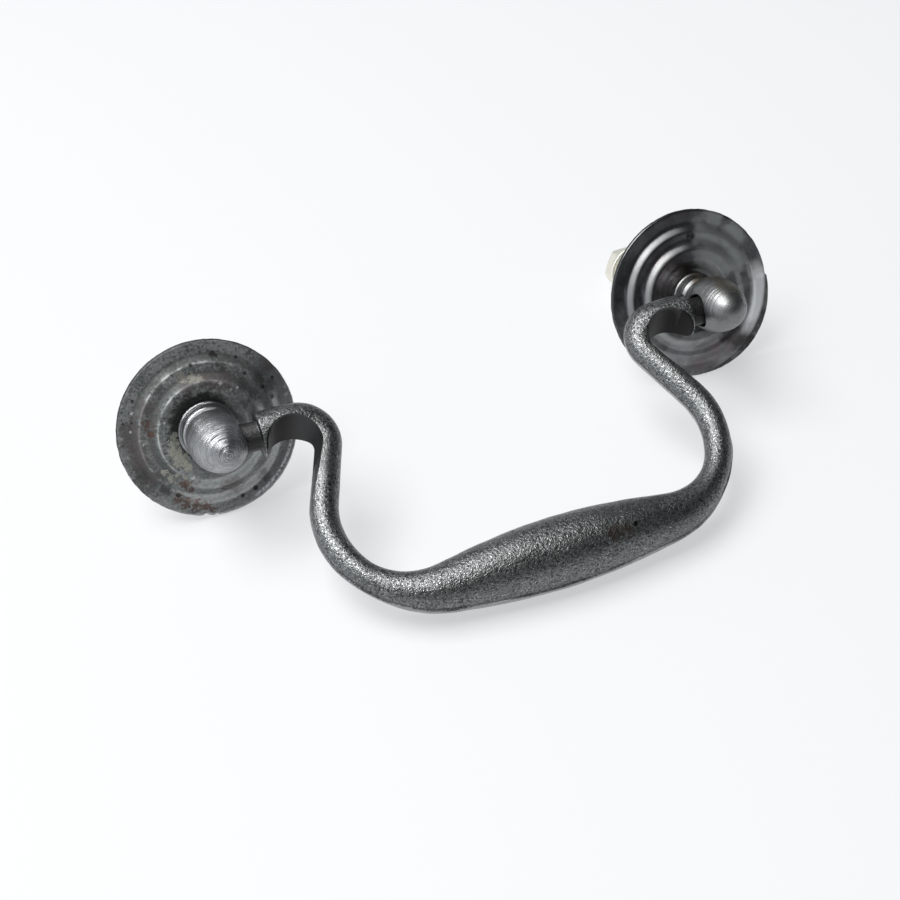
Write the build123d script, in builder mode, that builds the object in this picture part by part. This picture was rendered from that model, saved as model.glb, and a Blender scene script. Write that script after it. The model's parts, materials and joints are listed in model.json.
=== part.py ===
"""Swan-neck drop handle: a cast bail that swings between two turned posts on stepped round roses.

The handle lies as it does on a table. Its roses lean back on their rims and on the fixing nuts, and
the grip of the bail rests on the same surface in front of them. Millimetres, +Z up, +X from the left
post to the right one, and the handle's front faces -Y.
"""

import os
from math import acos, asin, atan2, cos, degrees, radians, sin, sqrt

from build123d import *

os.makedirs("parts", exist_ok=True)

# Driving dimensions of the two mountings. A height is measured out from a rose's back face.
CENTRES = 89.0  # between the two posts, 3 1/2 in
PIN_HEIGHT = 11.8  # the axis that the bail swings on

ROSE_R = 15.1
ROSE_SHEET = 0.9
ROSE_HOLE_R = 2.75
ROSE_SEAT = 1.9  # the front of the dished centre, where the post sits
ROSE_SEAT_R = 4.7
ROSE_CREST = 2.8
ROSE_CREST_INNER_R = 6.5
ROSE_CREST_OUTER_R = 8.5
ROSE_TERRACE = 1.8
ROSE_TERRACE_INNER_R = 9.75
ROSE_TERRACE_OUTER_R = 11.4
ROSE_FLANGE_R = 12.6  # the inner edge of the flat ring round the rim
ROSE_BEND_R = 0.5

SHANK_R = 2.5
FRONT_THICKNESS = 22.0  # of the drawer front that the shank is made for
WASHER_R = 5.0
WASHER_HOLE_R = 2.65
WASHER_T = 1.0
NUT_FLATS = 8.0
NUT_T = 4.0
NUT_CHAMFER = 0.35
SHANK_SPARE = 3.0  # of the shank beyond the nut
LEAD_R = 2.05  # the turned-down tip that finds the nut
LEAD_T = 2.0
LEAD_CHAMFER = 0.3

COLLAR_R = 4.0
COLLAR_TOP = 3.2
COVE_R = 2.9
BEAD_R = 3.5
BEAD_BOTTOM = 3.9
BEAD_TOP = 5.4
NECK_R = 2.7
HEAD_BOTTOM = 6.3
HEAD_BOTTOM_R = 3.3
HEAD_R = 4.7
HEAD_WIDEST = 10.6
HEAD_TIP = 18.4
QUARTER_ROUND = 0.5523  # a cubic Bezier's handle for a quarter of an ellipse

# Driving dimensions of the bail, in its own plane: x from the middle, drop from the pin axis.
SPIGOT_R = 2.6
SPIGOT_CLEARANCE = 0.07
SPIGOT_PAST_AXIS = 1.2  # how far a spigot's tip reaches beyond its post's axis
SOCKET_SPARE = 1.0  # left beyond the spigot's tip in the blind hole
FLARE_X = 38.3  # the outer face of the shoulder disc at the root of each spigot
FLARE_R = 3.7
EYE_X = 33.6  # the round inner face of the swan neck
EYE_DROP = 3.5
EYE_R = 3.5
ARM_TOP_X = 28.6  # where the straight arm meets the swan neck
ARM_TOP_DROP = 5.3
ARM_TOP_R = 2.5
CORNER_X = 18.6
CORNER_R = 14.8
GRIP_DROP = 34.9
GRIP_R = 5.7
ARM_R = 2.25
SWELL_HALF_LENGTH = 32.0  # of the grip's swelling, along the centre line
SWELL_FULLNESS = 1.6
SECTION_SPACING = 2.6

NUT_BACK = FRONT_THICKNESS + WASHER_T + NUT_T
SHANK_TIP = NUT_BACK + SHANK_SPARE

# The table touches both rims and the flats of both nuts, and the grip touches it too.
LEAN = atan2(ROSE_R - NUT_FLATS / 2, NUT_BACK)
PIN_Z = PIN_HEIGHT * sin(LEAN) + ROSE_R * cos(LEAN)
BAIL_PITCH = asin((PIN_Z - GRIP_R) / GRIP_DROP)  # of the bail's plane, down from level

# The handle's middle, from its foremost point to its rearmost, lies at Y = 0.
FRONT_REACH = GRIP_DROP * cos(BAIL_PITCH) + GRIP_R
BACK_REACH = (PIN_HEIGHT + SHANK_TIP) * cos(LEAN) + (LEAD_R - LEAD_CHAMFER) * sin(LEAN)
PIN_Y = (FRONT_REACH - BACK_REACH) / 2

OUTWARD = Vector(0, -cos(LEAN), sin(LEAN))
PIN_MIDDLE = Vector(0, PIN_Y, PIN_Z)
SIDES = {"left": -1, "right": 1}


def seat(side):
    """The plane of one rose's back face, centred on its post, with +Z out of the drawer front."""
    middle = PIN_MIDDLE - OUTWARD * PIN_HEIGHT
    return Plane(origin=middle + Vector(side * CENTRES / 2, 0, 0), x_dir=(1, 0, 0), z_dir=OUTWARD)


def section(side):
    """A plane through one post's axis, where x is a radius and y is a height."""
    base = seat(side)
    return Plane(origin=base.origin, x_dir=base.x_dir, z_dir=-base.y_dir)


def axis(side):
    base = seat(side)
    return Axis(base.origin, base.z_dir)


def rose_outline(depth):
    """The stepped line of a rose's front, or of its back when depth is the sheet's thickness."""
    points = [
        (ROSE_HOLE_R, ROSE_SEAT),
        (ROSE_SEAT_R, ROSE_SEAT),
        (ROSE_CREST_INNER_R, ROSE_CREST),
        (ROSE_CREST_OUTER_R, ROSE_CREST),
        (ROSE_TERRACE_INNER_R, ROSE_TERRACE),
        (ROSE_TERRACE_OUTER_R, ROSE_TERRACE),
        (ROSE_FLANGE_R, ROSE_SHEET),
        (ROSE_R, ROSE_SHEET),
    ]
    return [(radius, height - depth) for radius, height in points]


# The roses: stepped discs of sheet steel, open at the back, each with a hole for its shank.
for name, side in SIDES.items():
    with BuildPart() as rose:
        with BuildSketch(section(side)):
            with BuildLine():
                front = FilletPolyline(*rose_outline(0), radius=ROSE_BEND_R)
                back = FilletPolyline(*rose_outline(ROSE_SHEET), radius=ROSE_BEND_R)
                Line(front @ 0, back @ 0)
                Line(front @ 1, back @ 1)
            make_face()
        revolve(axis=axis(side))
        rim = rose.edges().filter_by(GeomType.CIRCLE).group_by(SortBy.RADIUS)[-1]
        fillet(rim.sort_by(axis(side))[-1], ROSE_SHEET / 2)
    rose.part.label = name + "_rose"
    export_step(rose.part, "parts/" + rose.part.label + ".step")

# The posts: collar, bead and acorn head turned in one piece with the shank, and a blind cross hole.
for name, side in SIDES.items():
    with BuildPart() as post:
        with BuildSketch(section(side)):
            with BuildLine():
                Polyline(
                    (0, HEAD_TIP),
                    (0, -SHANK_TIP),
                    (LEAD_R - LEAD_CHAMFER, -SHANK_TIP),
                    (LEAD_R, -SHANK_TIP + LEAD_CHAMFER),
                    (LEAD_R, -SHANK_TIP + LEAD_T),
                    (SHANK_R, -SHANK_TIP + LEAD_T + SHANK_R - LEAD_R),
                    (SHANK_R, ROSE_SEAT),
                    (COLLAR_R, ROSE_SEAT),
                    (COLLAR_R, COLLAR_TOP),
                    (COVE_R, COLLAR_TOP),
                    (COVE_R, BEAD_BOTTOM),
                )
                bead_middle = (BEAD_BOTTOM + BEAD_TOP) / 2
                ThreePointArc((COVE_R, BEAD_BOTTOM), (BEAD_R, bead_middle), (NECK_R, BEAD_TOP))
                Polyline((NECK_R, BEAD_TOP), (NECK_R, HEAD_BOTTOM), (HEAD_BOTTOM_R, HEAD_BOTTOM))
                Bezier(
                    (HEAD_BOTTOM_R, HEAD_BOTTOM),
                    (HEAD_R, (HEAD_BOTTOM + HEAD_WIDEST) / 2),
                    (HEAD_R, HEAD_WIDEST),
                )
                nose = HEAD_TIP - HEAD_WIDEST
                Bezier(
                    (HEAD_R, HEAD_WIDEST),
                    (HEAD_R, HEAD_WIDEST + QUARTER_ROUND * nose),
                    (QUARTER_ROUND * HEAD_R, HEAD_TIP),
                    (0, HEAD_TIP),
                )
            make_face()
        revolve(axis=axis(side))
        # The socket opens towards the other post.
        post_axis_point = PIN_MIDDLE + Vector(side * CENTRES / 2, 0, 0)
        socket_end = post_axis_point + Vector(side * (SPIGOT_PAST_AXIS + SOCKET_SPARE), 0, 0)
        with BuildSketch(Plane(origin=socket_end, x_dir=(0, 1, 0), z_dir=(-side, 0, 0))):
            Circle(SPIGOT_R + SPIGOT_CLEARANCE)
        extrude(amount=HEAD_R + SPIGOT_PAST_AXIS + SOCKET_SPARE, mode=Mode.SUBTRACT)
    post.part.label = name + "_post"
    export_step(post.part, "parts/" + post.part.label + ".step")

# The washers and nuts, where they hold a drawer front against the roses.
for name, side in SIDES.items():
    with BuildPart() as washer:
        with BuildSketch(seat(side).offset(-FRONT_THICKNESS - WASHER_T)):
            Circle(WASHER_R)
            Circle(WASHER_HOLE_R, mode=Mode.SUBTRACT)
        extrude(amount=WASHER_T)
    washer.part.label = name + "_washer"
    export_step(washer.part, "parts/" + washer.part.label + ".step")

    with BuildPart() as nut:
        # One flat faces down and carries the handle's back on the table.
        with BuildSketch(seat(side).offset(-NUT_BACK)):
            RegularPolygon(radius=NUT_FLATS / 2, side_count=6, major_radius=False)
        extrude(amount=NUT_T)
        # A cone takes the corners off its back.
        with BuildSketch(section(side)):
            corner_r = NUT_FLATS / sqrt(3)
            with BuildLine():
                Polyline(
                    (corner_r - NUT_CHAMFER, -NUT_BACK),
                    (corner_r + NUT_CHAMFER, -NUT_BACK),
                    (corner_r + NUT_CHAMFER, -NUT_BACK + NUT_CHAMFER),
                    close=True,
                )
            make_face()
        revolve(axis=axis(side), mode=Mode.SUBTRACT)
        with Locations(seat(side).offset(-NUT_BACK)):
            Hole(SHANK_R)
    nut.part.label = name + "_nut"
    export_step(nut.part, "parts/" + nut.part.label + ".step")


# The bail's plane has x along the pin axis, and y up the drop towards that axis.
BAIL_PLANE = Plane(
    origin=PIN_MIDDLE, x_dir=(1, 0, 0), z_dir=(0, -sin(BAIL_PITCH), cos(BAIL_PITCH))
)

# The straight arm touches the corner's arc, and leans inwards as it rises to the neck.
corner_centre = Vector(CORNER_X, CORNER_R - GRIP_DROP)
arm_top = Vector(ARM_TOP_X, -ARM_TOP_DROP)
to_arm_top = arm_top - corner_centre
arm_lean = atan2(to_arm_top.Y, to_arm_top.X) - acos(CORNER_R / to_arm_top.length)
neck_bend_r = ARM_TOP_DROP / (1 + sin(arm_lean))
neck_root_x = ARM_TOP_X + neck_bend_r * cos(arm_lean)

# Lengths along the centre line, from the middle of the grip.
bend_angle = 90 + degrees(arm_lean)
arm_length = sqrt(to_arm_top.length**2 - CORNER_R**2)
arm_top_s = CORNER_X + CORNER_R * radians(bend_angle) + arm_length
neck_root_s = arm_top_s + neck_bend_r * radians(bend_angle)


def blend(value):
    """A smooth step from 0 to 1."""
    value = min(max(value, 0), 1)
    return value * value * (3 - 2 * value)


def bail_radius(s):
    """The bail's radius at a distance along its centre line from the middle of the grip."""
    if s < SWELL_HALF_LENGTH:
        swell = (1 - (s / SWELL_HALF_LENGTH) ** 2) ** SWELL_FULLNESS
        return ARM_R + (GRIP_R - ARM_R) * swell
    if s < arm_top_s:
        along_arm = (s - SWELL_HALF_LENGTH) / (arm_top_s - SWELL_HALF_LENGTH)
        return ARM_R + (ARM_TOP_R - ARM_R) * blend(along_arm)
    along_neck = (s - arm_top_s) / (neck_root_s - arm_top_s)
    return ARM_TOP_R + (FLARE_R - ARM_TOP_R) * blend(along_neck)


# The bail: a swelling grip, two arms, and swan necks with flat-faced eyes, cast in one piece with the
# shoulder discs and spigots.
with BuildPart() as bail:
    with BuildLine() as centre_line:
        half_grip = Line((0, -GRIP_DROP), (CORNER_X, -GRIP_DROP))
        corner = JernArc(half_grip @ 1, half_grip % 1, CORNER_R, bend_angle)
        arm = Line(corner @ 1, arm_top)
        JernArc(arm @ 1, arm % 1, neck_bend_r, -bend_angle)
    path = BAIL_PLANE.location * centre_line.wires()[0]
    section_count = round(path.length / SECTION_SPACING)
    for i in range(section_count + 1):
        share = i / section_count
        with BuildSketch(Plane(origin=path @ share, x_dir=BAIL_PLANE.z_dir, z_dir=path % share)):
            Circle(bail_radius(share * path.length))
    loft()
    # The shoulder and the root of the neck are round about the pin axis.
    with BuildSketch(Plane(origin=path @ 1, x_dir=BAIL_PLANE.z_dir, z_dir=(1, 0, 0))):
        Circle(FLARE_R)
    extrude(amount=FLARE_X - neck_root_x)
    with BuildSketch(BAIL_PLANE):
        with Locations((EYE_X, -EYE_DROP)):
            Circle(EYE_R)
    extrude(amount=2 * FLARE_R, both=True, mode=Mode.SUBTRACT)
    with BuildSketch(Plane(origin=PIN_MIDDLE + Vector(FLARE_X, 0, 0), z_dir=(1, 0, 0))):
        Circle(SPIGOT_R)
    extrude(amount=CENTRES / 2 + SPIGOT_PAST_AXIS - FLARE_X)
    mirror(about=Plane.YZ)
bail.part.label = "bail"
export_step(bail.part, "parts/bail.step")
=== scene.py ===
"""Looks for the swan-neck drop handle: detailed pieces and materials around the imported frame.

Sizes are in millimetres and turned into metres where a mesh is made. A piece of a mounting is
drawn in its post's own frame, where +Z is the way out of the drawer front and +Y is up the rose.
The bail is drawn in its own plane, where +X runs along the pin axis and +Y up from the grip
towards that axis.
"""

import json
import math

import bpy
from mathutils import Matrix, Vector, noise


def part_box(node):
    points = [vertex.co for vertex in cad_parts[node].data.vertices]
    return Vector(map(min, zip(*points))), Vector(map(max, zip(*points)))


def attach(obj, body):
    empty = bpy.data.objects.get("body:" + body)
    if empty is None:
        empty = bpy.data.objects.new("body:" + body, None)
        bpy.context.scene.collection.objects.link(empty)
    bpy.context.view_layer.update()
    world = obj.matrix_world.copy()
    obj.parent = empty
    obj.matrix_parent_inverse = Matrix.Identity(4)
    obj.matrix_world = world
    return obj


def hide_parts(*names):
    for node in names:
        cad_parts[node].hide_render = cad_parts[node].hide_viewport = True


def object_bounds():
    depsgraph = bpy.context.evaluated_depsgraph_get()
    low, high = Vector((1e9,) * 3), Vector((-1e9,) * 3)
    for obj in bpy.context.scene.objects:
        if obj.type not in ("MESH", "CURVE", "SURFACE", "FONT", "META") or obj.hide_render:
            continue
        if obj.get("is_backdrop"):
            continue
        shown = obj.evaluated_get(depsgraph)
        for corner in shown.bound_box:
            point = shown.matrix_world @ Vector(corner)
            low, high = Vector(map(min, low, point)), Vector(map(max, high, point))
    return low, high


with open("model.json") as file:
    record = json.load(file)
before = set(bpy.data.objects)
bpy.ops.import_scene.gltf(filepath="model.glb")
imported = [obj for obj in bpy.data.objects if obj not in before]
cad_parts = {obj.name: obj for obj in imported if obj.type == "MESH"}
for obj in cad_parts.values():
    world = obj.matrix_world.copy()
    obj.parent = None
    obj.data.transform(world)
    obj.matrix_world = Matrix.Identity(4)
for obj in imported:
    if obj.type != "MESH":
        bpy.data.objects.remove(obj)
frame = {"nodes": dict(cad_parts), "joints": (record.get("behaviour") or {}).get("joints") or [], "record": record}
cad_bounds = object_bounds()

MM = 0.001

# Places that come from the frame, in millimetres.
JOINT = frame["joints"][0]
MOUNTS = {mount["name"]: mount for mount in frame["record"]["mounts"]}
PIN = Vector(JOINT["pos_m"]) / MM
OUTWARD = -Vector(MOUNTS["drawer_front"]["axis"]).normalized()
DRAWER_FRONT = Vector(MOUNTS["drawer_front"]["pos_m"]) / MM
PIN_HEIGHT = (PIN - DRAWER_FRONT).length
POST_X = MOUNTS["right_rose_back"]["pos_m"][0] / MM
SIDES = {"left": -1, "right": 1}


def node_heights(node):
    """The lowest and highest part of a mounting's CAD node along its post's axis."""
    mesh = frame["nodes"][node].data
    heights = [(vertex.co / MM - DRAWER_FRONT).dot(OUTWARD) for vertex in mesh.vertices]
    return min(heights), max(heights)


ROSE_R = (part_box("right_rose")[1].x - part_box("right_rose")[0].x) / MM / 2
SHANK_TIP, HEAD_TIP = node_heights("right_post")
WASHER_BACK, WASHER_FRONT = node_heights("right_washer")
NUT_BACK, NUT_FRONT = node_heights("right_nut")
WASHER_R = (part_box("right_washer")[1].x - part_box("right_washer")[0].x) / MM / 2
NUT_CORNER_R = (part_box("right_nut")[1].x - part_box("right_nut")[0].x) / MM / 2

# The bail's sizes. Its spigots are drawn a little thinner than the CAD model's.
GRIP_DROP = 34.9
GRIP_R = 5.7
ARM_R = 2.25
ARM_TOP_R = 2.5
ARM_TOP = Vector((28.6, -5.3))
CORNER_X = 18.6
CORNER_R = 14.8
EYE_FRONT = Vector((33.45, -4.15))
EYE_FRONT_R = 4.35
EYE_BACK = Vector((34.15, -4.05))
EYE_BACK_R = 3.8
FLARE_X = 38.3
FLARE_R = 3.7
SPIGOT_R = 2.4
SPIGOT_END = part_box("bail")[1].x / MM
SWELL_HALF_LENGTH = 32.0
SWELL_FULLNESS = 1.6
BAIL_PITCH = math.asin((PIN.z - GRIP_R) / GRIP_DROP)

# The posts' sizes. The left post's foot is fuller than the right one's.
HEAD_R = 4.7
HEAD_WIDEST = 10.6
HEAD_BOTTOM = 6.3
HEAD_BOTTOM_R = {"left": 4.4, "right": 3.3}
BEAD_R = {"left": 4.5, "right": 3.6}
COLLAR_R = {"left": 4.95, "right": 4.1}
NECK_R = 2.75
POST_SEAT = 1.9
POST_PLAY = {"left": (-0.3, 0.25, 0), "right": (0.0, 0.0, 0)}  # how a loose post sits off its hole
HOLE_R = 2.87
HOLE_PAST_AXIS = 2.2
HOLE_MOUTH = 0.14
THREAD_R = 2.48
THREAD_DEPTH = 0.42
THREAD_PITCH = 0.8
LEAD_R = 2.05
BORE_R = 2.75  # the hole in a rose and in a washer
NUT_BORE_R = 2.35
NUT_CHAMFER_R = 2.75

SMOOTH_ANGLE = math.radians(38)
ROUNDING_STEPS = 4


def frame_matrix(origin, x_axis, z_axis):
    """A placing with its origin in millimetres and its axes in the frame's directions."""
    y_axis = z_axis.cross(x_axis)
    turn = Matrix((x_axis, y_axis, z_axis)).transposed().to_4x4()
    return Matrix.Translation(origin * MM) @ turn


def post_place(side):
    return frame_matrix(DRAWER_FRONT + Vector((side * POST_X, 0, 0)), Vector((1, 0, 0)), OUTWARD)


def bail_place():
    normal = Vector((0, -math.sin(BAIL_PITCH), math.cos(BAIL_PITCH)))
    return frame_matrix(PIN, Vector((1, 0, 0)), normal)


# Mesh building.


def smooth_step(value, low=0.0, high=1.0):
    value = min(max((value - low) / (high - low), 0.0), 1.0)
    return value * value * (3 - 2 * value)


def bump(value, centre, half_width):
    """A smooth hill, 1 at the centre and 0 beyond the half width."""
    distance = abs(value - centre) / half_width
    return 1 - smooth_step(distance)


def polar(radius, angle, height):
    return Vector((radius * math.cos(angle), radius * math.sin(angle), height))


def angles(count):
    """Equal steps once round."""
    return [2 * math.pi * i / count for i in range(count)]


def ruffle(x, y, z, size, seed=0.0):
    """Smooth noise between about -1 and 1, with features of a size in millimetres."""
    return noise.noise(Vector((x / size + seed, y / size - seed, z / size + 2 * seed)))


def rounded(points, radius):
    """An outline with its corners rounded, with a smaller radius where a side is short."""
    straight = 0.01
    most_of_side = 0.45
    points = [Vector(point) for point in points]
    outline = [points[0]]
    for before, corner, after in zip(points, points[1:], points[2:]):
        to_before = before - corner
        to_after = after - corner
        turn = math.pi - to_before.angle(to_after)
        if turn < straight:
            outline.append(corner)
            continue
        shorter = min(to_before.length, to_after.length)
        reach = min(radius * math.tan(turn / 2), most_of_side * shorter)
        start = corner + to_before.normalized() * reach
        end = corner + to_after.normalized() * reach
        for i in range(ROUNDING_STEPS + 1):
            share = i / ROUNDING_STEPS
            first = start.lerp(corner, share)
            second = corner.lerp(end, share)
            outline.append(first.lerp(second, share))
    outline.append(points[-1])
    return outline


def divided(outline, spacing):
    """An outline with its long sides divided."""
    result = [outline[0]]
    for start, end in zip(outline, outline[1:]):
        parts = max(1, math.ceil((end - start).length / spacing))
        result += [start.lerp(end, i / parts) for i in range(1, parts + 1)]
    return result


def skin(name, rings, place, closed=False):
    """A piece skinned over rings of points, with a cap at each end, or closed into a loop."""
    count = len(rings[0])
    verts = [Vector(point) * MM for ring in rings for point in ring]
    faces = []
    pairs = len(rings) if closed else len(rings) - 1
    for i in range(pairs):
        low = i * count
        high = (i + 1) % len(rings) * count
        for j in range(count):
            k = (j + 1) % count
            faces.append((low + j, low + k, high + k, high + j))
    if not closed:
        faces.append(tuple(reversed(range(count))))
        faces.append(tuple(range(len(verts) - count, len(verts))))
    return piece(name, verts, faces, place)


def piece(name, verts, faces, place):
    mesh = bpy.data.meshes.new(name)
    mesh.from_pydata(verts, [], faces)
    mesh.validate()
    face_outwards(mesh)
    shade(mesh)
    obj = bpy.data.objects.new(name, mesh)
    bpy.context.scene.collection.objects.link(obj)
    obj.matrix_world = place
    return obj


def face_outwards(mesh):
    """Turns a closed mesh's faces outwards."""
    volume = 0.0
    for polygon in mesh.polygons:
        volume += polygon.area * polygon.normal.dot(polygon.center)
    if volume < 0:
        mesh.flip_normals()


def shade(mesh):
    """Shades a mesh smooth up to crisp edges."""
    mesh.shade_smooth()
    mesh.set_sharp_from_angle(angle=SMOOTH_ANGLE)


def lathe(name, outline, place, segments, shape=None, closed=False):
    """A turned piece. The outline's points are (radius, height), and shape may move each point."""
    rings = []
    for radius, height in outline:
        ring = []
        for angle in angles(segments):
            point = polar(radius, angle, height)
            ring.append(shape(point, radius, angle) if shape else point)
        rings.append(ring)
    return skin(name, rings, place, closed)


def cut(obj, cutter):
    """Cuts one piece out of another and deletes the cutter."""
    modifier = obj.modifiers.new("cut", "BOOLEAN")
    modifier.object = cutter
    modifier.solver = "EXACT"
    depsgraph = bpy.context.evaluated_depsgraph_get()
    mesh = bpy.data.meshes.new_from_object(obj.evaluated_get(depsgraph))
    obj.modifiers.clear()
    obj.data = mesh
    bpy.data.objects.remove(cutter)
    shade(mesh)


# The bail.

STATION_SPACING = 0.42
NECK_SPACING = 0.6 * STATION_SPACING
FLARE_STATIONS = 22
FLARE_LAST_X = FLARE_X - 0.5


def bail_line():
    """Stations along the right half, and how far along the arm's top and the neck's root are.

    A station is its place, its direction, its radius and s, how far along it is from the middle.
    """
    corner_centre = Vector((CORNER_X, CORNER_R - GRIP_DROP))
    to_arm_top = ARM_TOP - corner_centre
    arm_lean = math.atan2(to_arm_top.y, to_arm_top.x) - math.acos(CORNER_R / to_arm_top.length)
    neck_r = -ARM_TOP.y / (1 + math.sin(arm_lean))
    neck_centre = Vector((ARM_TOP.x + neck_r * math.cos(arm_lean), -neck_r))
    turn = math.pi / 2 + arm_lean
    arm_start = corner_centre + CORNER_R * Vector((math.cos(arm_lean), math.sin(arm_lean)))
    arm = ARM_TOP - arm_start
    corner_end_s = CORNER_X + CORNER_R * turn
    arm_top_s = corner_end_s + arm.length
    neck_root_s = arm_top_s + neck_r * turn
    stations = []

    def radius_at(s):
        if s < SWELL_HALF_LENGTH:
            swell = (1 - (s / SWELL_HALF_LENGTH) ** 2) ** SWELL_FULLNESS
            return ARM_R + (GRIP_R - ARM_R) * swell
        if s < arm_top_s:
            share = smooth_step(s, SWELL_HALF_LENGTH, arm_top_s)
            return ARM_R + (ARM_TOP_R - ARM_R) * share
        share = (s - arm_top_s) / (neck_root_s - arm_top_s)
        return ARM_TOP_R + (FLARE_R - ARM_TOP_R) * smooth_step(share, 0.0, 1.25)

    def add(place, direction, s):
        stations.append((place, direction, radius_at(s), s))

    steps = round(CORNER_X / STATION_SPACING)
    for i in range(steps):
        s = CORNER_X * i / steps
        add(Vector((s, -GRIP_DROP)), Vector((1, 0)), s)
    steps = round(CORNER_R * turn / STATION_SPACING)
    for i in range(steps):
        angle = turn * i / steps
        direction = Vector((math.cos(angle), math.sin(angle)))
        place = corner_centre + CORNER_R * Vector((direction.y, -direction.x))
        add(place, direction, CORNER_X + CORNER_R * angle)
    steps = round(arm.length / STATION_SPACING)
    for i in range(steps):
        add(arm_start + arm * (i / steps), arm.normalized(), corner_end_s + arm.length * i / steps)
    steps = round(neck_r * turn / NECK_SPACING)
    for i in range(steps):
        angle = turn * (1 - i / steps)
        direction = Vector((math.cos(angle), math.sin(angle)))
        place = neck_centre + neck_r * Vector((-direction.y, direction.x))
        add(place, direction, arm_top_s + neck_r * turn * i / steps)
    for i in range(FLARE_STATIONS + 1):
        share = math.sin(math.pi / 2 * i / FLARE_STATIONS)
        x = neck_centre.x + (FLARE_LAST_X - neck_centre.x) * share
        add(Vector((x, 0)), Vector((1, 0)), neck_root_s + x - neck_centre.x)
    return stations, arm_top_s, neck_root_s


def eye_distance(place, inward, eye, eye_r):
    """How far a side of the eye's face is from a station, along its inward direction."""
    to_eye = eye - place
    along = to_eye.dot(inward)
    aside = to_eye.length_squared - along * along
    if aside >= eye_r * eye_r:
        return None
    return along - math.sqrt(eye_r * eye_r - aside)


def eye_cuts(place, direction, radius):
    """Where the eye cuts a station, at the front and at the back, as shares of its radius."""
    side = Vector((direction.y, -direction.x))
    cuts = []
    for eye, eye_r in ((EYE_FRONT, EYE_FRONT_R), (EYE_BACK, EYE_BACK_R)):
        distance = eye_distance(place, side, eye, eye_r)
        cuts.append(1.0 if distance is None else min(distance / radius, 1.0))
    return cuts


FLAT_POINTS = 16
ROUND_POINTS = 72
LEAST_FLAT_ANGLE = math.radians(22)
FULL_FLAT = 0.12  # the cut, as a share of the radius, from which the face is quite flat


def bail_ring(place, direction, radius, cuts=(1.0, 1.0)):
    """One ring of the bail: round, with a slanting flat face on the side towards the eye."""
    side = Vector((direction.y, -direction.x))
    front, back = (max(math.acos(max(cut, -0.999)), LEAST_FLAT_ANGLE) for cut in cuts)
    ends = [Vector((math.cos(-back), math.sin(-back))), Vector((math.cos(front), math.sin(front)))]
    depth = smooth_step(1 - min(cuts), 0.0, FULL_FLAT)
    section = []
    for i in range(FLAT_POINTS):
        share = i / FLAT_POINTS
        chord = ends[0].lerp(ends[1], share)
        angle = front * share - back * (1 - share)
        section.append(Vector((math.cos(angle), math.sin(angle))).lerp(chord, depth))
    round_angle = 2 * math.pi - front - back
    for i in range(ROUND_POINTS):
        angle = front + round_angle * i / ROUND_POINTS
        section.append(Vector((math.cos(angle), math.sin(angle))))
    points = []
    for across, height in section:
        in_plane = side * (radius * across)
        points.append(Vector((place.x + in_plane.x, place.y + in_plane.y, radius * height)))
    return points


def cast_surface(point, centre, strength):
    """Moves a point of the casting in or out by the lumps and pits there."""
    out = point - centre
    lumps = 0.07 * ruffle(*point, 5.0, 3.1) + 0.035 * ruffle(*point, 1.7, 8.2)
    grain = ruffle(*point, 0.8, 5.5)
    pits = -0.07 * max(grain - 0.3, 0)
    return point + out.normalized() * (lumps + pits) * strength


def parting_line(s, angle, radius):
    """The mould's parting line along the outside: a shallow step with a thin ridge on it."""
    filed_from, filed_away = 36, 46  # distances along the bail
    strength = 1 - smooth_step(s, filed_from, filed_away)
    if strength == 0:
        return 0
    across = angle * radius - 0.35 * ruffle(s, 0, 0, 9.0)
    ridge = 0.12 * (0.7 + 0.6 * ruffle(s, 4, 0, 2.5)) * bump(across, -0.1, 0.3)
    groove = 0.07 * bump(across, 0.3, 0.3)
    shelf = 0.16 * smooth_step(-across, -0.15, 0.15) * (1 - smooth_step(-across, 1.2, 2.6))
    return (ridge + shelf - groove) * strength


def make_bail():
    stations, arm_top_s, neck_root_s = bail_line()
    rings = []
    flat_length = 19.0  # how far the flat face runs down the arm
    cuts_at_top = next(eye_cuts(*station[:3]) for station in stations if station[3] >= arm_top_s)
    for place, direction, radius, s in stations:
        side = Vector((direction.y, -direction.x))
        if s >= arm_top_s:
            cuts = eye_cuts(place, direction, radius)
        else:
            near_top = 1 - smooth_step(arm_top_s - s, 0, flat_length)
            cuts = [1 - (1 - cut_at_top) * near_top for cut_at_top in cuts_at_top]
        ring = bail_ring(place, direction, radius, cuts)
        centre = Vector((place.x, place.y, 0))
        calm = smooth_step(s, arm_top_s - 6, arm_top_s)
        strength = 1 - 0.5 * calm - 0.3 * smooth_step(s, neck_root_s - 2, neck_root_s)
        face_strength = strength * (1 - 0.9 * calm)
        shaped = []
        for index, point in enumerate(ring):
            out = point - centre
            angle = math.atan2(out.z, out.x * side.x + out.y * side.y)
            moved = cast_surface(point, centre, face_strength if index <= FLAT_POINTS else strength)
            shaped.append(moved + out.normalized() * parting_line(s, angle, radius))
        rings.append(shaped)

    # The shoulder disc's edge and face, the spigot's root and its end, as (x, radius).
    end = [(FLARE_X - 0.35, FLARE_R), (FLARE_X - 0.12, FLARE_R - 0.04), (FLARE_X, FLARE_R - 0.2)]
    end += [(FLARE_X, SPIGOT_R + 0.3), (FLARE_X + 0.08, SPIGOT_R + 0.08), (FLARE_X + 0.3, SPIGOT_R)]
    end += [(SPIGOT_END - 0.4, SPIGOT_R), (SPIGOT_END, SPIGOT_R - 0.4), (SPIGOT_END, 0.8)]
    for x, radius in end:
        ring = bail_ring(Vector((x, 0)), Vector((1, 0)), radius)
        rings.append([cast_surface(point, Vector((x, 0, 0)), 0.25) for point in ring])

    # The left half mirrors the right one, with its rings in the reverse order.
    mirrored = [[Vector((-p.x, p.y, p.z)) for p in ring] for ring in reversed(rings[1:])]
    return skin("bail_casting", mirrored + rings, bail_place())


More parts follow.
